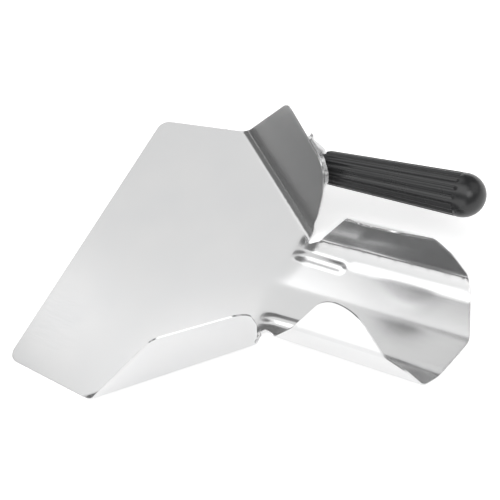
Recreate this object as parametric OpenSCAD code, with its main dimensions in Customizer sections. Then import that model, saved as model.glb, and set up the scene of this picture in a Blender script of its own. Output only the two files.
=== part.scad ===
// French-fry bagging scoop with one side handle.
// Front edge of the pan faces -X, the chute's outlet faces +X, the handle is on the +Y side.
// Z = 0 is the plane that the pan rests on.

/* [Sheet] */
// Thickness of the pressed sheet
sheet_t = 1; // [0.8:0.1:1.2]

/* [Pan] */
// Length of the whole sheet body, from the front edge to the chute's tip
body_len = 268; // [260:1:280]
// Width of the pan at its front edge
front_w = 205; // [195:1:210]
// Width of the pan where the side flanges start
shoulder_w = 216; // [212:1:222]
// Distance from the front edge to where the flanges start
shoulder_x = 72.5; // [68:0.5:76]
// Angle in plan between a flange's bend line and the body's axis
flange_angle = 39; // [37:0.5:41]
// Radius of the pan's two front corners
front_corner_r = 8; // [3:1:14]

/* [Flanges] */
// How far each flange leans outwards from upright
flange_lean = 15.5; // [12:0.5:18]
// Length of the bend line
flange_len = 107.5; // [104:0.5:110]
// Height of a flange at its front corner, measured up its face
flange_front_h = 74.5; // [72:0.5:78]
// Height of a flange where its rear corner starts, measured up its face
flange_rear_h = 68; // [66:0.5:70]
// Distance along the bend line to the front corner
flange_front_s = 68; // [64:1:70]
// Distance along the bend line to the flange's rearmost point
flange_rear_s = 117.5; // [116:0.5:119]
// Radius of the bend between pan and flange, at mid thickness
flange_bend_r = 8; // [6:0.5:8]

/* [Chute] */
// Half width of the chute's floor
floor_half_w = 33; // [32:0.5:34]
// Rise of each half of the floor beside the central crease
floor_rise = 4.5; // [4:0.5:6]
// Rise of the floor at the foot of a wall
floor_edge_rise = 28; // [24:1:30]
// Angle of a side wall from horizontal
wall_angle = 86.5; // [84:0.5:88]
// Height of a wall's flat part, measured up its face
wall_run = 22.2; // [20:0.2:23]
// Angle of the flap above each wall, from horizontal
flap_angle = 124.5; // [120:0.5:128]
// Width of a flap's flat part, measured across its face
flap_run = 20; // [18:0.5:21]
// Radius of the bend at the foot of a wall, at mid thickness
foot_bend_r = 4; // [3:0.5:5]
// Radius of the bend between wall and flap, at mid thickness
flap_bend_r = 6; // [4:0.5:8]
// How far the chute's tip stands proud of its outer corners
tip_proud = 8; // [5:1:11]

/* [Ribs] */
// Width of a stiffening rib
rib_w = 8; // [6:0.5:9]
// Height of a rib above the floor
rib_h = 2; // [1.5:0.25:2.5]
// Distance of each rib from the body's axis
rib_y = 22; // [20:0.5:23]

/* [Handle] */
// Distance of the grip's axis from the body's axis
grip_y = 64; // [63:0.5:66]
// Height of the grip's axis
grip_z = 41; // [39:0.5:43]
// Length of the grip, with its round end
grip_len = 95; // [90:1:105]
// Diameter of the grip beside the bracket
grip_d_front = 19.5; // [18:0.5:20]
// Diameter of the grip's round end
grip_d_end = 24.3; // [22:0.1:26]
// Number of finger flutes around the grip
flute_count = 16; // [12:1:20]
// Depth of a flute
flute_depth = 0.8; // [0.4:0.1:1.2]
// Thread diameter of the stud
stud_d = 5; // [5:0.5:5]
// Thickness of the bracket plate
bracket_t = 2; // [1.5:0.5:2]
// Thickness of the collar between bracket and grip
collar_t = 3; // [2.5:0.5:3.5]
// Diameter of the collar
collar_d = 14.5; // [13:0.5:15]

/* [Hidden] */
$fn = 64;
far = 400;
bend_facets = 8;
eps = 0.01;

front_x = -body_len / 2;
tip_x = body_len / 2;
mid_z = sheet_t / 2;

// The virtual corner where a flange's mid plane meets the pan's mid plane.
root_x = front_x + shoulder_x;
root_y = shoulder_w / 2;
neck_x = root_x + flange_len * cos(flange_angle);
neck_y = root_y - flange_len * sin(flange_angle);
fold = 90 - flange_lean;
fold_setback = flange_bend_r * tan(fold / 2);
flange_corner_r = 7;
flange_rear_edge_r = 30;

// The chute's section from the crease to a flap's rim, as steps for mid_line().
floor_flat_w = 16;
floor_bend_r = (floor_half_w - floor_flat_w) / (sin(floor_edge_rise) - sin(floor_rise));
chute_steps = [[floor_flat_w / cos(floor_rise), floor_bend_r, floor_edge_rise - floor_rise],
    [0, foot_bend_r, wall_angle - floor_edge_rise], [wall_run, flap_bend_r, flap_angle - wall_angle],
    [flap_run, 0, 0]];
chute_line = mid_line(chute_steps, [0, mid_z], floor_rise);
foot_z = chute_line[bend_facets + 2][0][1];
bend_z = chute_line[5 * bend_facets / 2 + 4][0][1];
rim_z = chute_line[len(chute_line) - 1][0][1];

// Stations along the chute, of a wall's edge at its foot, at the flap's bend and at the flap's rim.
// The end edges of walls and flaps lean back by edge_lean for each unit of height.
edge_lean = 0.78;
flap_lean = edge_lean / sin(flap_angle);
flap_corner_r = 12;
neck_gap = 8.5;
foot_front_x = neck_x + neck_gap;
foot_rear_x = tip_x - tip_proud;
bend_front_x = foot_front_x + (bend_z - foot_z) * edge_lean;
bend_rear_x = foot_rear_x - (bend_z - foot_z) * edge_lean;
rim_front_x = bend_front_x + (rim_z - bend_z) * flap_lean;
rim_rear_x = bend_rear_x - (rim_z - bend_z) * flap_lean;
crease_lead = 10;
crease_x = neck_x - crease_lead;
notch_gap = 0.5;
// The point on each side where the flat pan's edge ends at the neck's notch.
neck_edge = [neck_x, neck_y - fold_setback - notch_gap, mid_z];

// Ribs
rib_lead = 9;
rib_len = 41;
rib_front_x = neck_x - rib_lead;
rib_rear_x = rib_front_x + rib_len;
rib_climb = lookup(rib_y, [for (q = chute_line) if (q[0][1] <= foot_z) q[0]]) - mid_z;
rib_r = (rib_w * rib_w / 4 + rib_h * rib_h) / (2 * rib_h);

// Handle, from the grip's front face forwards
grip_front_x = 29;
leg_rear_x = grip_front_x - collar_t;
leg_front_x = leg_rear_x - bracket_t;
leg_mid_x = leg_rear_x - bracket_t / 2;
washer_t = 1.3;
washer_d = 9.2;
nut_h = 4;
nut_flats = 8;
nut_rear_x = leg_front_x - washer_t;
nut_front_x = nut_rear_x - nut_h;
stud_front_x = nut_front_x - 1.5;
stud_in_grip = 24;
stud_head_d = 10;
stud_head_h = 4;
hole_play = 0.3;
grip_end_x = grip_front_x + grip_len - grip_d_end / 2;
grip_taper = atan((grip_d_end - grip_d_front) / 2 / (grip_end_x - grip_front_x));
flute_r = 1.6;
flute_end_gap = 2;

// Frame on a flange: x along the bend line, y out of the outer face, z up the face.
flange_out = [sin(flange_angle) * cos(flange_lean), cos(flange_angle) * cos(flange_lean),
    -sin(flange_lean)];
// The bracket's bend line lies in both legs: it leans outwards by bend_lean.
bend_lean = atan(tan(flange_lean) / cos(flange_angle));
leg_turn = asin(sin(flange_angle) * cos(flange_lean));
bracket_gap = sheet_t / 2 + bracket_t / 2;
bracket_bend_r = 3;
bracket_s = (leg_mid_x - root_x - flange_out[0] * bracket_gap) / cos(flange_angle);
bracket_low = 29;
bracket_high = 68.5;
bracket_in_y = 40;
bracket_top_y = 63.5;
bracket_out_y = 72.5;
bracket_shoulder_z = 46.5;
bracket_corner_r = 5;
weld_leg = 30;
weld_peek = 0.5;
weld_front_s = 80;
weld_rear_low = 54;

// Points of a corner rounded to radius r, between the lines from a to b and from b to c.
function unit(v) = v / norm(v);
function round_corner(a, b, c, r, steps = 8) =
    let (u = unit(a - b), w = unit(c - b), half = acos(u * w) / 2, set = r / tan(half),
        centre = b + unit(u + w) * r / sin(half), start = b + u * set, stop = b + w * set,
        a0 = atan2(start[1] - centre[1], start[0] - centre[0]),
        a1 = atan2(stop[1] - centre[1], stop[0] - centre[0]),
        turn = (a1 - a0 + 540) % 360 - 180)
    [for (i = [0 : steps]) centre + r * [cos(a0 + turn * i / steps), sin(a0 + turn * i / steps)]];

// An outline given as [point, radius] pairs, with each corner rounded to its radius.
function rounded(pairs) = let (n = len(pairs))
    [for (i = [0 : n - 1]) each pairs[i][1] > 0
        ? round_corner(pairs[(i + n - 1) % n][0], pairs[i][0], pairs[(i + 1) % n][0], pairs[i][1])
        : [pairs[i][0]]];

// Stations [point, heading] along the mid line of a sheet with bends, from the origin along +x.
// steps is a list of [straight length, bend radius, turn to the left].
function mid_line(steps, at = [0, 0], heading = 0, i = 0) =
    let (turn = steps[i][2], radius = sign(turn) * steps[i][1],
        stop = at + steps[i][0] * [cos(heading), sin(heading)],
        centre = stop + radius * [-sin(heading), cos(heading)],
        bend = [for (k = [0 : bend_facets]) let (h = heading + turn * k / bend_facets)
            [centre + radius * [sin(h), -cos(h)], h]],
        rest = turn == 0 ? [[stop, heading]]
            : concat(bend, mid_line(steps, bend[bend_facets][0], heading + turn, i + 1)))
    i == 0 ? concat([[at, heading]], rest) : rest;

// The section of that sheet, with its thickness laid half to each side of the mid line.
module bent_section(steps, thick) {
    line = mid_line(steps);
    last = len(line) - 1;
    half = thick / 2;
    polygon(concat([for (q = line) q[0] + half * [sin(q[1]), -cos(q[1])]],
        [for (k = [last : -1 : 0]) line[k][0] + half * [-sin(line[k][1]), cos(line[k][1])]]));
}

module on_flange() {
    translate([root_x, root_y, mid_z])
        rotate([0, 0, -flange_angle])
            rotate([-flange_lean, 0, 0])
                children();
}

// A prism through a flange whose outline is given as [along the bend line, up the face].
module flange_prism(outline, reach) {
    rotate([90, 0, 0])
        linear_extrude(height = 2 * reach, center = true)
            polygon(outline);
}

module pan_plate() {
    setback = fold_setback * [sin(flange_angle), cos(flange_angle)];
    along = [cos(flange_angle), -sin(flange_angle)];
    corner = [root_x, root_y];
    start = corner - setback - along * fold_setback * 0.9;
    stop = corner - setback + along * flange_len;
    half = concat(round_corner([front_x, 0], [front_x, front_w / 2], start, front_corner_r),
        [start, stop, [neck_edge[0], neck_edge[1]], [crease_x, 0]]);
    other = [for (i = [len(half) - 1 : -1 : 0]) [half[i][0], -half[i][1]]];
    linear_extrude(height = sheet_t)
        polygon(concat(half, other));
}

// One half of the neck, where the flat pan passes into the V of the chute's floor.
module neck_plate(a, b, c) {
    down = [0, 0, -mid_z];
    up = [0, 0, mid_z];
    polyhedron(points = [a + down, b + down, c + down, a + up, b + up, c + up],
        faces = [[0, 1, 2], [3, 5, 4], [0, 3, 4, 1], [1, 4, 5, 2], [2, 5, 3, 0]]);
}

module neck_half() {
    crease_start = [crease_x - 1, 0, mid_z];
    crease_end = [foot_front_x + 1, 0, mid_z];
    wall_foot = [foot_front_x + 1, floor_half_w, foot_z];
    neck_plate(crease_start, wall_foot, neck_edge);
    neck_plate(crease_start, crease_end, wall_foot);
}

module side_flange() {
    front_top = [flange_front_s, flange_front_h];
    outline = rounded([[[-fold_setback * 0.9, -3], 0], [[0, 0.5], 0], [front_top, flange_corner_r],
        [[flange_rear_s - 7, flange_rear_h], flange_corner_r],
        [[flange_rear_s, flange_rear_h - 8], flange_corner_r],
        [[flange_rear_s - 3, flange_rear_h / 2], flange_rear_edge_r],
        [[flange_rear_s - 9, flange_rear_h / 6], flange_rear_edge_r / 2],
        [[flange_len - 4.5, 0], 0], [[flange_len - 4.5, -3], 0]]);
    // The section lies across the bend line: first the pan's side, then up the flange.
    section = [[0.2, flange_bend_r, fold], [flange_front_h + 5, 0, 0]];
    intersection() {
        translate([root_x, root_y, mid_z])
            rotate([0, 0, -flange_angle])
                translate([-fold_setback, -fold_setback - 0.2, 0])
                    rotate([90, 0, 90])
                        linear_extrude(height = flange_rear_s + 2 * fold_setback)
                            bent_section(section, sheet_t);
        on_flange()
            flange_prism(outline, 30);
    }
}

// The chute's section, seen from its outlet, from the crease to one flap's rim.
module chute_section() {
    steps = concat([chute_steps[0] + [sheet_t, 0, 0]], [for (i = [1 : 3]) chute_steps[i]]);
    intersection() {
        translate([0, mid_z])
            rotate(floor_rise)
                translate([-sheet_t, 0])
                    bent_section(steps, sheet_t);
        translate([-eps, -far])
            square([far, 2 * far]);
    }
}

module chute() {
    side = rounded([[[foot_front_x - 2, -5], 0], [[foot_front_x - 2, foot_z - 3], 0],
        [[bend_front_x, bend_z], 0], [[rim_front_x, rim_z], flap_corner_r],
        [[rim_rear_x, rim_z], flap_corner_r], [[bend_rear_x, bend_z], 0], [[foot_rear_x, foot_z], 0],
        [[far, foot_z - 1], 0], [[far, -5], 0]]);
    intersection() {
        for (s = [0, 1])
            mirror([0, s, 0])
                rotate([90, 0, 90])
                    linear_extrude(height = tip_x)
                        chute_section();
        rotate([90, 0, 0])
            linear_extrude(height = far, center = true)
                polygon(side);
        linear_extrude(height = far, center = true)
            polygon([[0, -far], [foot_rear_x - 2, -far], [foot_rear_x, -floor_half_w], [tip_x, 0],
                [foot_rear_x, floor_half_w], [foot_rear_x - 2, far], [0, far]]);
    }
}

// The outer or inner shape of a rib: a capsule that climbs gently from the pan into the chute.
module rib_form(radius) {
    run = rib_rear_x - rib_front_x - rib_w;
    translate([rib_front_x + rib_w / 2, rib_y, sheet_t + rib_climb / 2 + rib_h - rib_r])
        rotate([0, -atan(rib_climb / 2 / run), 0]) {
            rotate([0, 90, 0])
                cylinder(r = radius, h = run);
            sphere(r = radius);
            translate([run, 0, 0])
                sphere(r = radius);
        }
}

// The part of a rib's outer shape that stands above the sheet.
module rib() {
    flat_end = foot_front_x - neck_gap / 2;
    intersection() {
        rib_form(rib_r);
        union() {
            translate([rib_front_x - rib_w, rib_y - rib_w, mid_z])
                cube([flat_end + eps - rib_front_x + rib_w, 2 * rib_w, 4 * rib_r]);
            translate([flat_end, rib_y, mid_z + rib_climb])
                rotate([3 * floor_rise, 0, 0])
                    translate([0, -rib_w, 0])
                        cube([rib_rear_x, 2 * rib_w, 4 * rib_r]);
        }
    }
}

// One folded sheet. Each rib is pressed up from below, so it is hollow underneath.
module scoop_body() {
    color("silver")
        difference() {
            union() {
                pan_plate();
                chute();
                for (s = [0, 1])
                    mirror([0, s, 0]) {
                        side_flange();
                        neck_half();
                        rib();
                    }
            }
            for (s = [0, 1])
                mirror([0, s, 0])
                    rib_form(rib_r - sheet_t);
        }
}

// The bent plate behind the handle-side flange: one leg is welded to the flange,
// the other stands square to the grip's axis.
module handle_bracket() {
    turn = 90 - leg_turn;
    set = bracket_bend_r * tan(turn / 2);
    foot = [leg_mid_x, root_y - sin(flange_angle) * bracket_s + flange_out[1] * bracket_gap,
        mid_z + flange_out[2] * bracket_gap];
    bolt_leg = rounded([[[bracket_in_y, bracket_low], 0],
        [[bracket_out_y - 3, bracket_low], bracket_corner_r],
        [[bracket_out_y, bracket_shoulder_z], bracket_corner_r], [[bracket_top_y, bracket_high], 1],
        [[bracket_in_y, bracket_high], 0]]);
    weld_outline = rounded([[[weld_front_s, bracket_low], 0],
        [[flange_len - 2, bracket_low], bracket_corner_r],
        [[flange_rear_s + weld_peek, weld_rear_low], bracket_corner_r],
        [[flange_rear_s + weld_peek, flange_rear_h - 7], flange_corner_r],
        [[flange_rear_s - 6, flange_rear_h + weld_peek], flange_corner_r],
        [[weld_front_s, flange_rear_h + 1], 0]]);
    color("gainsboro")
        difference() {
            intersection() {
                translate(foot)
                    rotate([-bend_lean, 0, 0])
                        linear_extrude(height = 2 * bracket_high)
                            rotate(-leg_turn)
                                translate([weld_leg, 0])
                                    rotate(180)
                                        bent_section([[weld_leg - set, bracket_bend_r, -turn],
                                            [2 * weld_leg, 0, 0]], bracket_t);
                union() {
                    translate([leg_front_x - 1, 0, 0])
                        rotate([90, 0, 90])
                            linear_extrude(height = bracket_t + 1 + eps)
                                polygon(bolt_leg);
                    on_flange()
                        flange_prism(weld_outline, sheet_t / 2 + bracket_t + 2);
                }
            }
            along_grip(leg_front_x - 1, bracket_t + 2, (stud_d + hole_play) / 2);
        }
}

module along_grip(from_x, length, radius) {
    translate([from_x, grip_y, grip_z])
        rotate([0, 90, 0])
            cylinder(r = radius, h = length);
}

// The stud's shank and the six-sided head that the grip is moulded around.
module stud_shape() {
    along_grip(stud_front_x, grip_front_x + stud_in_grip - stud_front_x, stud_d / 2);
    translate([grip_front_x + stud_in_grip - stud_head_h, grip_y, grip_z])
        rotate([0, 90, 0])
            cylinder(d = stud_head_d, h = stud_head_h, $fn = 6);
}

module handle_stud() {
    color("lightgray")
        stud_shape();
}

module stud_nut() {
    color("lightgray")
        difference() {
            translate([nut_front_x, grip_y, grip_z])
                rotate([0, 90, 0])
                    cylinder(d = nut_flats / cos(30), h = nut_h, $fn = 6);
            along_grip(nut_front_x - 1, nut_h + 2, stud_d / 2);
        }
}

module lock_washer() {
    color("lightgray")
        difference() {
            along_grip(nut_rear_x, washer_t, washer_d / 2);
            along_grip(nut_rear_x - 1, washer_t + 2, (stud_d + hole_play) / 2);
            translate([nut_rear_x - 1, grip_y, grip_z - 0.4])
                cube([washer_t + 2, washer_d, 0.8]);
        }
}

module grip_collar() {
    color("black")
        difference() {
            along_grip(leg_rear_x, collar_t, collar_d / 2);
            along_grip(leg_rear_x - 1, collar_t + 2, (stud_d + hole_play) / 2);
        }
}

module handle_grip() {
    end_r = grip_d_end / 2;
    front_r = grip_d_front / 2;
    run = grip_end_x - grip_front_x;
    arc = [for (a = [0 : 5 : 90]) [end_r * cos(a), run + end_r * sin(a)]];
    color("#26282b")
        difference() {
            translate([grip_front_x, grip_y, grip_z])
                rotate([0, 90, 0])
                    rotate_extrude()
                        polygon(concat([[0, 0], [front_r - 1, 0], [front_r, 1]], arc));
            for (i = [0 : flute_count - 1])
                translate([grip_front_x, grip_y, grip_z])
                    rotate([360 * i / flute_count, 0, 0])
                        translate([-flute_r, 0, front_r + flute_r - flute_depth])
                            rotate([0, 90 - grip_taper, 0])
                                cylinder(r = flute_r, h = run - flute_end_gap);
            stud_shape();
        }
}

scoop_body();
handle_bracket();
handle_stud();
stud_nut();
lock_washer();
grip_collar();
handle_grip();
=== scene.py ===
"""A fry bagging scoop: a folded steel body, its bracket and fasteners, and a fluted side grip."""
import math

import bmesh
import bpy
from mathutils import Matrix, Vector
from mathutils.geometry import delaunay_2d_cdt
from mathutils.kdtree import KDTree


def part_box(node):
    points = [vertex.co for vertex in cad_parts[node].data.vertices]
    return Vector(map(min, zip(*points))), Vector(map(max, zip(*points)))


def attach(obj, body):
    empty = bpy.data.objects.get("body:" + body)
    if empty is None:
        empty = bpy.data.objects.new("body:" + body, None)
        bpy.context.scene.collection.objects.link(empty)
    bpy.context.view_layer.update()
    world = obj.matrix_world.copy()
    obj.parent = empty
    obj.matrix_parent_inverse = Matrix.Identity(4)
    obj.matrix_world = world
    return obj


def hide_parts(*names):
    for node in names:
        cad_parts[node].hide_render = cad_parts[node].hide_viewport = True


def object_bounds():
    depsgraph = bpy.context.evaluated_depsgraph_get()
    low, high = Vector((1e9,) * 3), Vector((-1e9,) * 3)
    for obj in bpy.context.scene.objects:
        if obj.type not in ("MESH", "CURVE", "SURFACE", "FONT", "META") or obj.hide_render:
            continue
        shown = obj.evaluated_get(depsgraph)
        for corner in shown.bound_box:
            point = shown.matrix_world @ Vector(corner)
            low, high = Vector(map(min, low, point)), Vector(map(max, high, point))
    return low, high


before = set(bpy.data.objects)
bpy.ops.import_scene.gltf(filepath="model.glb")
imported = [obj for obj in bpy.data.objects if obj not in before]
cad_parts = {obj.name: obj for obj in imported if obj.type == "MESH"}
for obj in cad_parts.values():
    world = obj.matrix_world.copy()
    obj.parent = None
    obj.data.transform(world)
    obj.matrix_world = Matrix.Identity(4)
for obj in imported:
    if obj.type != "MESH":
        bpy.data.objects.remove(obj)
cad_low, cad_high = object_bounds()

MM = 0.001


def box_mm(node):
    """The CAD node's lowest and highest corner, in millimetres."""
    low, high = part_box(node)
    return low / MM, high / MM


# ---------------------------------------------------------------- sizes of the sheet, in mm
BODY_LOW, BODY_HIGH = box_mm("scoop_body")
FRONT_X, TIP_X = BODY_LOW.x, BODY_HIGH.x
SHEET_T = 1.0
MID_Z = SHEET_T / 2

# Pan and flanges
FRONT_W = 205.0
SHOULDER_W = 216.0
SHOULDER_X = 72.5
FRONT_CORNER_R = 8.0
FLANGE_ANGLE = math.radians(39.0)
FLANGE_FOLD = math.radians(90.0 - 15.5)
FLANGE_BEND_R = 8.0
# A flange's corners from front to rear: distance along the bend line, height up the face, radius
FLANGE_CORNERS = [
    (-0.5, 0.0, 30.0), (68.0, 74.4, 10.0), (117.6, 66.6, 11.0),
    (116.4, 42.0, 50.0), (111.5, 20.0, 40.0), (104.0, 2.0, 18.0),
]

# Neck, where the sheet is narrowest and the pan passes into the chute
NECK_X = 23.5
NECK_Y = 31.2
NOTCH = (20.4, 33.6)
NOTCH_R = 2.5

# Chute floor: a shallow V whose sides turn up over a short bend
FLOOR_HALF_W = 33.0
FLOOR_FLAT_W = 22.0
FLOOR_BEND_W = 4.0
FLOOR_RISE = math.radians(4.5)
FLOOR_EDGE_RISE = math.radians(28.0)
FLOOR_BEND_R = FLOOR_BEND_W / (math.sin(FLOOR_EDGE_RISE) - math.sin(FLOOR_RISE))
CREASE_R = 2.5
# Where the flat sheet passes into that section, beside the crease and at the walls' feet
RAMP_START = (5.0, 12.0)
RAMP_LEN = (16.0, 20.0)

# Chute walls and flaps
WALL_ANGLE = math.radians(86.5)
WALL_RUN = 22.2
FLAP_ANGLE = math.radians(124.5)
FLAP_RUN = 20.0
FOOT_BEND_R = 4.0
FLAP_BEND_R = 6.0
FLAP_FRONT_CORNER_R = 14.0
FLAP_REAR_CORNER_R = 24.0
# In the blank, the end edges of a wall and its flap lean towards each other by this slope
EDGE_LEAN = 0.78
TIP_PROUD = 8.0
TIP_R = 12.0
# Corners of the outlet's edge: distance ahead of the tip, distance from the crease
OUTLET_CORNERS = [(8.5, 27.5), (18.5, 49.0)]
OUTLET_CORNER_R = 25.0
FOOT_FRONT_X = 30.5
FOOT_CORNER_R = 1.5
# The neck's edge runs straight on behind NECK_X before it turns out to the wall's foot
NECK_TAIL = 1.5
NECK_TAIL_R = 0.8

# Pressed ribs
RIB_FRONT_X, RIB_REAR_X = 12.0, 53.0
RIB_FRONT_Y, RIB_REAR_Y = 23.0, 21.6
RIB_HALF_W = 4.8
RIB_H = 1.5
RIB_FADE = 12.0

# Spacing of mesh points: on the pan, on walls and flanges, on the chute's floor and along the
# outlines, in the neck, and around the ribs
WIDE_STEP, FACE_STEP, FLOOR_STEP, NECK_STEP, FINE_STEP = 4.0, 2.5, 2.0, 1.5, 0.8
# How far the pan's points, the neck's and the ribs' stay from a flange's bend
WIDE_GAP, NECK_GAP, RIB_GAP = 2.0, 0.8, 0.5
# Where the neck's finer points begin, and how far they reach to each side
NECK_ZONE_X, NECK_ZONE_Y = 8.0, 40.0
RIB_MARGIN = 1.0
BEND_ROWS = 10
CREASE_ROWS = 3
CREASE_GAP = 0.7
FLANGE_ROWS = 35
FLANGE_COLUMNS = 64
FLANGE_COLUMN_START = -20.0
CHUTE_COLUMNS = 46
# Longer than any sheet: the last straight run of a folded section
ENDLESS = 999.0


# ---------------------------------------------------------------- outlines and folding
def round_corner(before, corner, after, radius):
    """Points along an arc of that radius, which rounds the corner."""
    to_a = (before - corner).normalized()
    to_c = (after - corner).normalized()
    half = to_a.angle(to_c) / 2
    setback = radius / math.tan(half)
    centre = corner + (to_a + to_c).normalized() * radius / math.sin(half)
    start = corner + to_a * setback - centre
    turn = math.pi - 2 * half
    if to_a.cross(to_c) > 0:
        turn = -turn
    steps = max(3, math.ceil(abs(turn) * radius / FINE_STEP))
    points = []
    for k in range(steps + 1):
        points.append(centre + Matrix.Rotation(turn * k / steps, 2) @ start)
    return points


def rounded(corners):
    """A closed outline from (point, radius) pairs."""
    points = []
    for k, (corner, radius) in enumerate(corners):
        before, after = corners[k - 1][0], corners[(k + 1) % len(corners)][0]
        points += round_corner(before, corner, after, radius) if radius else [corner.copy()]
    return points


def walk(steps, distance, heading=0.0):
    """Where a folded sheet's mid line is after a distance; a step is (straight, bend radius, turn)."""
    across, up = 0.0, 0.0
    for straight, radius, turn in steps:
        run = min(distance, straight)
        across += run * math.cos(heading)
        up += run * math.sin(heading)
        distance -= run
        if distance <= 0 or not turn:
            break
        bent = min(distance / radius, turn)
        across += radius * (math.sin(heading + bent) - math.sin(heading))
        up += radius * (math.cos(heading) - math.cos(heading + bent))
        heading += bent
        distance -= bent * radius
    return across, up


def smooth(value):
    """0 below 0, 1 above 1, and an even S between."""
    value = min(max(value, 0.0), 1.0)
    return value * value * (3 - 2 * value)


def rib_axis(x):
    """Distance of a rib's axis from the crease."""
    share = (x - RIB_FRONT_X) / (RIB_REAR_X - RIB_FRONT_X)
    return RIB_FRONT_Y + (RIB_REAR_Y - RIB_FRONT_Y) * share


def rib_bump(x, y):
    """Height of a pressed rib above the sheet: a ridge that fades in from the pan and ends round."""
    along = min(max(x, RIB_FRONT_X + RIB_HALF_W), RIB_REAR_X - RIB_HALF_W)
    away = math.hypot(x - along, y - rib_axis(along)) / RIB_HALF_W
    height = RIB_H * smooth((x - RIB_FRONT_X) / RIB_FADE)
    return height * math.cos(min(away, 1.0) * math.pi / 2) ** 2


def floor_section(y):
    """Height of the chute's floor above the point of its V, which the crease rounds off."""
    vee = y if y > CREASE_R else (y * y / CREASE_R + CREASE_R) / 2
    flat = min(vee, FLOOR_FLAT_W)
    bend = min(max(y - FLOOR_FLAT_W, 0.0), FLOOR_BEND_W)
    heading = math.asin(math.sin(FLOOR_RISE) + bend / FLOOR_BEND_R)
    strip = min(max(y - FLOOR_FLAT_W - FLOOR_BEND_W, 0.0), FLOOR_HALF_W - FLOOR_FLAT_W - FLOOR_BEND_W)
    return (flat * math.tan(FLOOR_RISE) + FLOOR_BEND_R * (math.cos(FLOOR_RISE) - math.cos(heading))
            + strip * math.tan(FLOOR_EDGE_RISE))


def floor_height(x, y):
    """Height of the sheet's mid plane over the pan, neck and chute floor."""
    y = abs(y)
    out = y / FLOOR_HALF_W
    ramp_start = RAMP_START[0] + (RAMP_START[1] - RAMP_START[0]) * out
    ramp_len = RAMP_LEN[0] + (RAMP_LEN[1] - RAMP_LEN[0]) * out
    rise = floor_section(y) * smooth((x - ramp_start) / ramp_len)
    return MID_Z + rise + rib_bump(x, y)


# ---------------------------------------------------------------- the two blanks
ROOT = Vector((FRONT_X + SHOULDER_X, SHOULDER_W / 2))
ALONG = Vector((math.cos(FLANGE_ANGLE), -math.sin(FLANGE_ANGLE)))
OUT = Vector((math.sin(FLANGE_ANGLE), math.cos(FLANGE_ANGLE)))
FLANGE_SETBACK = FLANGE_BEND_R * math.tan(FLANGE_FOLD / 2)
FLANGE_ARC = FLANGE_BEND_R * FLANGE_FOLD
FLANGE_STEPS = [(0.0, FLANGE_BEND_R, FLANGE_FOLD), (ENDLESS, 0.0, 0.0)]

FOOT_TURN = WALL_ANGLE - FLOOR_EDGE_RISE
FLAP_TURN = FLAP_ANGLE - WALL_ANGLE
WALL_STEPS = [(0.0, FOOT_BEND_R, FOOT_TURN), (WALL_RUN, FLAP_BEND_R, FLAP_TURN), (ENDLESS, 0.0, 0.0)]
WALL_START = FLOOR_HALF_W + FOOT_BEND_R * FOOT_TURN
WALL_STOP = WALL_START + WALL_RUN
FLAP_START = WALL_STOP + FLAP_BEND_R * FLAP_TURN
RIM = FLAP_START + FLAP_RUN


def on_flange_blank(along, up):
    """The flat blank's point for a place on a flange: along the bend line, and up the face."""
    return ROOT + along * ALONG + (up - 2 * FLANGE_SETBACK + FLANGE_ARC) * OUT


def past_bend(point):
    """Distance past the start of the flange's bend, in the flat blank."""
    return (Vector((point.x, abs(point.y))) - ROOT).dot(OUT) + FLANGE_SETBACK


def fold_pan(point):
    """A point of the pan's blank, folded into place."""
    side = 1 if point.y >= 0 else -1
    past = past_bend(point)
    if past <= 0:
        return Vector((point.x, point.y, floor_height(point.x, point.y)))
    foot = Vector((point.x, abs(point.y))) - past * OUT
    across, up = walk(FLANGE_STEPS, past)
    place = foot + across * OUT
    return Vector((place.x, side * place.y, MID_Z + up))


def fold_chute(point):
    """A point of the chute's blank, (x, distance from the crease), folded into place."""
    side = 1 if point.y >= 0 else -1
    floor_y = min(abs(point.y), FLOOR_HALF_W)
    across, up = walk(WALL_STEPS, abs(point.y) - floor_y, FLOOR_EDGE_RISE)
    return Vector((point.x, side * (floor_y + across), floor_height(point.x, floor_y) + up))


def both_sides(corners):
    """A whole outline from its +Y half, with the -Y half in the opposite order."""
    other = [(Vector((p.x, -p.y)), r) for p, r in reversed(corners)]
    return corners + other


def neck_line():
    """The row of points that the two blanks share across the neck, from +Y to -Y."""
    parts = round(2 * NECK_Y)
    return [Vector((NECK_X, NECK_Y * (1 - 2 * k / parts))) for k in range(parts + 1)]


def pan_outline():
    """Corners of the pan's blank with its flanges, as (point, radius)."""
    half = [(Vector((FRONT_X, FRONT_W / 2)), FRONT_CORNER_R)]
    for along, up, radius in FLANGE_CORNERS:
        half.append((on_flange_blank(along, up), radius))
    half += [(Vector(NOTCH), NOTCH_R), (Vector((NECK_X, NECK_Y)), 0)]
    return both_sides(half)


def chute_outline():
    """Corners of the chute's blank with its walls and flaps, as (point, radius)."""
    climb = EDGE_LEAN * (RIM - FLOOR_HALF_W)
    half = [(Vector((TIP_X - ahead, out)), OUTLET_CORNER_R) for ahead, out in OUTLET_CORNERS]
    half += [
        (Vector((TIP_X - TIP_PROUD - climb, RIM)), FLAP_REAR_CORNER_R),
        (Vector((FOOT_FRONT_X + climb, RIM)), FLAP_FRONT_CORNER_R),
        (Vector((FOOT_FRONT_X, FLOOR_HALF_W)), FOOT_CORNER_R),
        (Vector((NECK_X + NECK_TAIL, NECK_Y)), NECK_TAIL_R),
        (Vector((NECK_X, NECK_Y)), 0),
    ]
    return both_sides(half) + [(Vector((TIP_X, 0.0)), TIP_R)]


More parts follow.
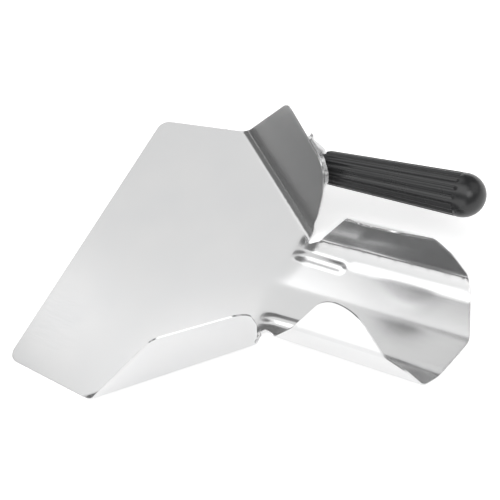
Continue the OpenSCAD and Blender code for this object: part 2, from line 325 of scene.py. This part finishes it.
def closed_loop(corners):
    """The rounded outline with its long edges divided, closed along the neck's shared points."""
    outline = rounded(corners)
    row = neck_line()
    first = min(range(len(outline)), key=lambda k: (outline[k] - row[-1]).length)
    turned = outline[first:] + outline[:first]
    loop = []
    for start, stop in zip(turned, turned[1:]):
        parts = max(1, round((stop - start).length / FLOOR_STEP))
        loop += [start.lerp(stop, j / parts) for j in range(parts)]
    return loop + [turned[-1]] + row[1:-1]


def grid(low_x, high_x, low_y, high_y, step):
    """Points on a square grid."""
    columns = round((high_x - low_x) / step)
    rows = round((high_y - low_y) / step)
    return [Vector((low_x + (high_x - low_x) * i / columns, low_y + (high_y - low_y) * j / rows))
            for i in range(columns + 1) for j in range(rows + 1)]


def near_rib(point):
    """Whether a point of either blank is on a rib or close beside it."""
    return (RIB_FRONT_X - RIB_MARGIN < point.x < RIB_REAR_X + RIB_MARGIN
            and abs(abs(point.y) - rib_axis(point.x)) < RIB_HALF_W + FINE_STEP)


def pan_points():
    """Mesh points inside the pan's blank: rows along each bend, and grids on the open sheet."""
    rows = [FLANGE_ARC * k / BEND_ROWS for k in range(BEND_ROWS + 1)]
    rows += [FLANGE_ARC + FACE_STEP * k for k in range(1, FLANGE_ROWS + 1)]
    points = []
    for k in range(FLANGE_COLUMNS):
        for row in rows:
            place = (ROOT + (FACE_STEP * k + FLANGE_COLUMN_START) * ALONG
                     + (row - FLANGE_SETBACK) * OUT)
            points += [place, Vector((place.x, -place.y))]
    open_sheet = grid(FRONT_X, NECK_X, -SHOULDER_W / 2, SHOULDER_W / 2, WIDE_STEP)
    neck = grid(NECK_ZONE_X, NECK_X, -NECK_ZONE_Y, NECK_ZONE_Y, NECK_STEP)
    ribs = grid(NECK_ZONE_X, NECK_X, -NECK_ZONE_Y, NECK_ZONE_Y, FINE_STEP)
    points += [p for p in open_sheet
               if past_bend(p) < -WIDE_GAP and (p.x < NECK_ZONE_X or abs(p.y) > NECK_ZONE_Y)]
    points += [p for p in neck if past_bend(p) < -NECK_GAP and not near_rib(p)]
    points += [p for p in ribs if past_bend(p) < -RIB_GAP and near_rib(p)]
    return points


def chute_points():
    """Mesh points inside the chute's blank, in rows along its bends."""
    rows = [FLOOR_HALF_W + (WALL_START - FLOOR_HALF_W) * k / BEND_ROWS for k in range(BEND_ROWS + 1)]
    wall_rows = round(WALL_RUN / FACE_STEP)
    rows += [WALL_START + WALL_RUN * k / wall_rows for k in range(1, wall_rows)]
    rows += [WALL_STOP + (FLAP_START - WALL_STOP) * k / BEND_ROWS for k in range(BEND_ROWS + 1)]
    flap_rows = round(FLAP_RUN / FACE_STEP)
    rows += [FLAP_START + FLAP_RUN * k / flap_rows for k in range(1, flap_rows)]
    columns = [NECK_X + FACE_STEP * k for k in range(CHUTE_COLUMNS)]
    points = [Vector((x, side * row)) for x in columns for row in rows for side in (1, -1)]
    crease = [Vector((x, k * CREASE_R / CREASE_ROWS))
              for x in columns for k in range(-CREASE_ROWS, CREASE_ROWS + 1)]
    limit = FLOOR_HALF_W - 1.0
    floor = [p for p in grid(NECK_X, TIP_X, -limit, limit, FLOOR_STEP)
             if abs(p.y) > CREASE_R + CREASE_GAP]
    ribs = grid(NECK_X, RIB_REAR_X + 2 * RIB_MARGIN, -limit, limit, FINE_STEP)
    return (points + crease + [p for p in floor if not near_rib(p)]
            + [p for p in ribs if near_rib(p)])


def inside(point, outline):
    """Whether a point is inside a closed outline."""
    odd = False
    previous = outline[-1]
    for corner in outline:
        if (corner.y > point.y) != (previous.y > point.y):
            reach = (previous.x - corner.x) * (point.y - corner.y) / (previous.y - corner.y)
            if point.x < corner.x + reach:
                odd = not odd
        previous = corner
    return odd


def triangulated(outline, points, fold):
    """Triangles that fill a flat outline through the given points, folded into place."""
    edge = KDTree(len(outline))
    for k, corner in enumerate(outline):
        edge.insert((corner.x, corner.y, 0.0), k)
    edge.balance()
    kept = []
    for point in points:
        if edge.find((point.x, point.y, 0.0))[2] > FINE_STEP and inside(point, outline):
            kept.append(point)
    inside_only, epsilon = 1, 1e-5
    boundary = [list(range(len(outline)))]
    flat, _, faces = delaunay_2d_cdt(outline + kept, [], boundary, inside_only, epsilon)[:3]
    return [fold(Vector(p)) * MM for p in flat], faces


# ---------------------------------------------------------------- objects and modifiers
def new_object(name, vertices, faces, material, weld=0.00003):
    """A smooth-shaded mesh object, with doubled points welded and faces turned one way."""
    mesh = bpy.data.meshes.new(name)
    mesh.from_pydata([tuple(v) for v in vertices], [], [tuple(f) for f in faces])
    shape = bmesh.new()
    shape.from_mesh(mesh)
    bmesh.ops.remove_doubles(shape, verts=shape.verts, dist=weld)
    bmesh.ops.dissolve_degenerate(shape, edges=shape.edges, dist=weld)
    unused = [v for v in shape.verts if not v.link_faces]
    bmesh.ops.delete(shape, geom=unused, context="VERTS")
    bmesh.ops.recalc_face_normals(shape, faces=shape.faces)
    for face in shape.faces:
        face.smooth = True
    shape.to_mesh(mesh)
    shape.free()
    mesh.materials.append(material)
    piece = bpy.data.objects.new(name, mesh)
    bpy.context.scene.collection.objects.link(piece)
    return piece


def thicken(piece, thickness):
    """Gives a sheet its thickness, half to each side."""
    solid = piece.modifiers.new("thickness", "SOLIDIFY")
    solid.thickness = thickness * MM
    solid.offset = 0.0
    solid.use_even_offset = True


def soften(piece, width, angle=50.0):
    """Breaks the sharp edges and keeps flat faces flat in shading."""
    bevel = piece.modifiers.new("edges", "BEVEL")
    bevel.width = width * MM
    bevel.segments = 2
    bevel.limit_method = "ANGLE"
    bevel.angle_limit = math.radians(angle)
    bevel.harden_normals = False
    normals = piece.modifiers.new("normals", "WEIGHTED_NORMAL")
    normals.keep_sharp = True


def place_piece(piece, slot, *nodes):
    """Ties a new piece to the frame's body and hides the CAD nodes it stands for; the slot is not
    used.
    """
    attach(piece, "root")
    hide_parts(*nodes)


# ---------------------------------------------------------------- materials
# Most of a noise's values lie between these
NOISE_LOW, NOISE_HIGH = 0.3, 0.7
EVEN = (1.0, 1.0, 1.0)
ALONG_X = (0.03, 1.0, 1.0)
WHITE = (1, 1, 1, 1)


def node_material(name):
    """A new node material, and its nodes, links and shader."""
    material = bpy.data.materials.new(name)
    material.use_nodes = True
    nodes, links = material.node_tree.nodes, material.node_tree.links
    return material, nodes, links, nodes["Principled BSDF"]


def stretched_noise(nodes, links, stretch, scale, detail):
    """Noise in the object's own space, drawn out along one direction."""
    place = nodes.new("ShaderNodeTexCoord")
    shape = nodes.new("ShaderNodeMapping")
    shape.inputs["Scale"].default_value = stretch
    noise = nodes.new("ShaderNodeTexNoise")
    noise.inputs["Scale"].default_value = scale
    noise.inputs["Detail"].default_value = detail
    links.new(place.outputs["Object"], shape.inputs["Vector"])
    links.new(shape.outputs["Vector"], noise.inputs["Vector"])
    return noise.outputs["Fac"]


def ranged(nodes, links, value, low, high):
    """The value, spread from its middle range to low..high."""
    spread = nodes.new("ShaderNodeMapRange")
    spread.inputs["From Min"].default_value = NOISE_LOW
    spread.inputs["From Max"].default_value = NOISE_HIGH
    spread.inputs["To Min"].default_value = low
    spread.inputs["To Max"].default_value = high
    links.new(value, spread.inputs["Value"])
    return spread.outputs["Result"]


def bumped(nodes, links, shader, value, strength, distance):
    """A fine relief from the value."""
    bump = nodes.new("ShaderNodeBump")
    bump.inputs["Strength"].default_value = strength
    bump.inputs["Distance"].default_value = distance * MM
    links.new(value, bump.inputs["Height"])
    links.new(bump.outputs["Normal"], shader.inputs["Normal"])


def steel(name, tone, rough_low, rough_high, grain):
    """Satin sheet steel with a fine rolled grain along X and a faint cloudiness."""
    material, nodes, links, shader = node_material(name)
    shader.inputs["Metallic"].default_value = 1.0
    lines = stretched_noise(nodes, links, ALONG_X, 2600.0, 3.0)
    clouds = stretched_noise(nodes, links, EVEN, 28.0, 2.0)
    ramp = nodes.new("ShaderNodeValToRGB")
    ramp.color_ramp.elements[0].position = NOISE_LOW
    ramp.color_ramp.elements[1].position = NOISE_HIGH
    ramp.color_ramp.elements[0].color = (tone * 0.97, tone * 0.973, tone * 0.98, 1)
    ramp.color_ramp.elements[1].color = (tone, tone, tone, 1)
    links.new(clouds, ramp.inputs["Fac"])
    links.new(ramp.outputs["Color"], shader.inputs["Base Color"])
    links.new(ranged(nodes, links, lines, rough_low, rough_high), shader.inputs["Roughness"])
    bumped(nodes, links, shader, lines, grain, 0.02)
    return material


def plastic(name, tone, rough_low, rough_high, grain):
    """Black moulded plastic with a fine, even surface texture."""
    material, nodes, links, shader = node_material(name)
    fine = stretched_noise(nodes, links, EVEN, 1800.0, 3.0)
    broad = stretched_noise(nodes, links, EVEN, 60.0, 2.0)
    ramp = nodes.new("ShaderNodeValToRGB")
    ramp.color_ramp.elements[0].color = (tone * 0.85, tone * 0.87, tone * 0.92, 1)
    ramp.color_ramp.elements[1].color = (tone * 1.1, tone * 1.12, tone * 1.18, 1)
    links.new(broad, ramp.inputs["Fac"])
    links.new(ramp.outputs["Color"], shader.inputs["Base Color"])
    links.new(ranged(nodes, links, broad, rough_low, rough_high), shader.inputs["Roughness"])
    bumped(nodes, links, shader, fine, grain, 0.03)
    return material


SHEET_STEEL = steel("sheet_steel", 0.63, 0.21, 0.25, 0.01)
BRACKET_STEEL = steel("bracket_steel", 0.63, 0.24, 0.30, 0.01)
ZINC = steel("fastener_steel", 0.66, 0.16, 0.22, 0.01)
GRIP_PLASTIC = plastic("grip_plastic", 0.014, 0.26, 0.34, 0.10)
COLLAR_PLASTIC = plastic("collar_plastic", 0.02, 0.38, 0.46, 0.1)


# ---------------------------------------------------------------- pieces
def make_body():
    """The folded sheet, as one mesh welded across the neck."""
    pan_vertices, pan_faces = triangulated(closed_loop(pan_outline()), pan_points(), fold_pan)
    chute_vertices, chute_faces = triangulated(
        closed_loop(chute_outline()), chute_points(), fold_chute)
    first = len(pan_vertices)
    faces = list(pan_faces) + [[first + v for v in face] for face in chute_faces]
    piece = new_object("folded_body", pan_vertices + chute_vertices, faces, SHEET_STEEL)
    thicken(piece, SHEET_T)
    soften(piece, 0.18)
    place_piece(piece, "sheet_steel", "scoop_body")


GRIP_LOW, GRIP_HIGH = box_mm("handle_grip")
GRIP_Y, GRIP_Z = (GRIP_LOW.y + GRIP_HIGH.y) / 2, (GRIP_LOW.z + GRIP_HIGH.z) / 2
GRIP_END_R = (GRIP_HIGH.z - GRIP_LOW.z) / 2
GRIP_FRONT_R = 9.75
FLUTES = 16
FLUTE_DEPTH = 0.8
FLUTE_R = 1.6
FLUTE_STEPS = 14
# The flutes fade out over a short length, a little way ahead of the round end
FLUTE_FADE = 1.6
FLUTE_END_GAP = 2.0
COLLAR_SIDES = 64


def lathe(name, rings, centre_y, centre_z, material, sides):
    """A closed solid about an axis along X; each ring is (x, function of angle giving the radius)."""
    vertices, faces = [], []
    for x, radius in rings:
        for k in range(sides):
            angle = 2 * math.pi * k / sides
            r = radius(angle)
            y, z = centre_y + r * math.sin(angle), centre_z + r * math.cos(angle)
            vertices.append(Vector((x, y, z)) * MM)
    for row in range(len(rings) - 1):
        for k in range(sides):
            a, b = row * sides + k, row * sides + (k + 1) % sides
            faces.append((a, b, b + sides, a + sides))
    for row in (0, len(rings) - 1):
        centre = len(vertices)
        vertices.append(Vector((rings[row][0], centre_y, centre_z)) * MM)
        faces += [(row * sides + k, row * sides + (k + 1) % sides, centre) for k in range(sides)]
    return new_object(name, vertices, faces, material, weld=0.000002)


def make_grip():
    """The moulded grip: a slow taper with round-bottomed flutes and a hemispherical end."""
    end_x = GRIP_HIGH.x - GRIP_END_R
    run = end_x - GRIP_LOW.x

    def shaft_r(x):
        return GRIP_FRONT_R + (GRIP_END_R - GRIP_FRONT_R) * (x - GRIP_LOW.x) / run

    def fluted(x, inset=0.0, keep=1.0):
        base = shaft_r(x)

        def radius(angle):
            off = (angle * FLUTES / (2 * math.pi) + 0.5) % 1.0 - 0.5
            side = abs(off) * 2 * math.pi / FLUTES * base
            cut = math.sqrt(max(FLUTE_R ** 2 - side ** 2, 0.0)) - (FLUTE_R - FLUTE_DEPTH)
            return base - inset - keep * max(cut, 0.0)
        return radius

    edge, face_margin = 1.0, 3.5
    edge_steps, shaft_steps, fade_steps, end_steps = 4, 30, 6, 19
    rings = [(GRIP_LOW.x, lambda a: GRIP_FRONT_R - face_margin)]
    for k in range(edge_steps + 1):
        lean = math.pi / 2 * k / edge_steps
        rings.append((GRIP_LOW.x + edge * (1 - math.cos(lean)),
                      fluted(GRIP_LOW.x, inset=edge * (1 - math.sin(lean)))))
    fade_start = end_x - FLUTE_END_GAP - FLUTE_FADE
    for k in range(1, shaft_steps + 1):
        x = GRIP_LOW.x + edge + (fade_start - GRIP_LOW.x - edge) * k / shaft_steps
        rings.append((x, fluted(x)))
    for k in range(1, fade_steps + 1):
        x = fade_start + FLUTE_FADE * k / fade_steps
        rings.append((x, fluted(x, keep=math.sqrt(max(1 - (k / fade_steps) ** 2, 0.0)))))
    for k in range(end_steps):
        lean = math.pi / 2 * k / end_steps
        rings.append((end_x + GRIP_END_R * math.sin(lean),
                      lambda a, r=GRIP_END_R * math.cos(lean): r))
    piece = lathe("fluted_grip", rings, GRIP_Y, GRIP_Z, GRIP_PLASTIC, FLUTES * FLUTE_STEPS)
    place_piece(piece, "grip_plastic", "handle_grip")


def make_collar():
    """The spacer ring, with broken edges."""
    low, high = box_mm("grip_collar")
    outer = (high.z - low.z) / 2
    edge, face_margin = 0.5, 3.0
    profile = [(low.x, outer - face_margin), (low.x, outer - edge), (low.x + edge, outer),
               (high.x - edge, outer), (high.x, outer - edge), (high.x, outer - face_margin)]
    rings = [(x, lambda a, r=r: r) for x, r in profile]
    piece = lathe("spacer_collar", rings, GRIP_Y, GRIP_Z, COLLAR_PLASTIC, COLLAR_SIDES)
    soften(piece, 0.15, 30.0)
    place_piece(piece, "collar_plastic", "grip_collar")


def finish_cad_nodes():
    """Materials for the nodes that keep their CAD shape."""
    finishes = {
        "handle_bracket": BRACKET_STEEL, "handle_stud": ZINC, "stud_nut": ZINC, "lock_washer": ZINC,
    }
    for node, material in finishes.items():
        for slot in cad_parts[node].material_slots:
            slot.material = material


# ---------------------------------------------------------------- studio
# Each light's centre, aim, width, depth and power
LIGHTS = {
    "top_light": ((-0.05, -0.2, 1.6), (-0.05, -0.2, 0.0), 1.8, 1.3, 14.7),
    "back_light": ((-1.33, 1.25, 1.86), (0, 0, 0), 2.7, 1.8, 13.6),
    "strip_light": ((-1.54, 0.44, 1.65), (0, 0, 0), 0.3, 0.3, 0.16),
    "side_light": ((-0.2, -1.8, 0.6), (-0.2, 0, 0.6), 2.8, 1.2, 16.5),
    "key_light": ((1.5, -0.5, 1.6), (0, 0, 0), 1.0, 1.0, 12.0),
    "right_fill": ((1.6, 1.0, 1.1), (0, 0, 0), 1.8, 1.4, 6.0),
    "left_fill": ((-1.7, -1.1, 0.9), (0, 0, 0), 1.4, 0.8, 2.6),
}
STUDIO_FLOOR_SIZE = 6.0
STUDIO_FLOOR_TONE = 0.93
STUDIO_FLOOR_GLOW = 0.38
WORLD_STRENGTH = 0.2


def softbox(name, centre, aim, width, depth, power):
    """A rectangular light that faces its aim point."""
    data = bpy.data.lights.new(name, "AREA")
    data.shape = "RECTANGLE"
    data.size, data.size_y = width, depth
    data.energy = power
    lamp = bpy.data.objects.new(name, data)
    lamp.location = centre
    lamp.rotation_euler = (Vector(aim) - Vector(centre)).to_track_quat("-Z", "Y").to_euler()
    bpy.context.scene.collection.objects.link(lamp)


def make_studio():
    """A white floor under the part, the lights and a plain white world."""
    bpy.ops.mesh.primitive_plane_add(size=STUDIO_FLOOR_SIZE, location=(0, 0, cad_low.z))
    floor = bpy.context.object
    floor.name = "studio_floor"
    material, _, _, shader = node_material("floor_paint")
    tone = STUDIO_FLOOR_TONE
    shader.inputs["Base Color"].default_value = (tone, tone, tone, 1)
    shader.inputs["Roughness"].default_value = 0.9
    shader.inputs["Emission Color"].default_value = WHITE
    shader.inputs["Emission Strength"].default_value = STUDIO_FLOOR_GLOW
    floor.data.materials.append(material)
    for name, values in LIGHTS.items():
        softbox(name, *values)
    world = bpy.data.worlds.new("studio")
    world.use_nodes = True
    backdrop = world.node_tree.nodes["Background"]
    backdrop.inputs["Color"].default_value = WHITE
    backdrop.inputs["Strength"].default_value = WORLD_STRENGTH
    bpy.context.scene.world = world
    bpy.context.scene.view_settings.view_transform = "Standard"


def make_camera():
    """A camera that looks steeply down over the outlet, rolled so that the chute points right."""
    azimuth, elevation, roll = math.radians(50.1), math.radians(52.0), math.radians(-28.0)
    distance = 0.505
    aim = Vector((-0.014, 0.0185, cad_low.z))
    turn = Matrix.Rotation(azimuth, 4, "Z") @ Matrix.Rotation(math.pi / 2 - elevation, 4, "X")
    turn = turn @ Matrix.Rotation(roll, 4, "Z")
    data = bpy.data.cameras.new("view")
    data.lens = 57.5
    data.sensor_width = 36.0
    camera = bpy.data.objects.new("view", data)
    back = turn.to_3x3() @ Vector((0, 0, 1))
    camera.matrix_world = Matrix.Translation(aim + back * distance) @ turn
    bpy.context.scene.collection.objects.link(camera)
    bpy.context.scene.camera = camera


make_camera()
make_body()
make_grip()
make_collar()
finish_cad_nodes()
make_studio()
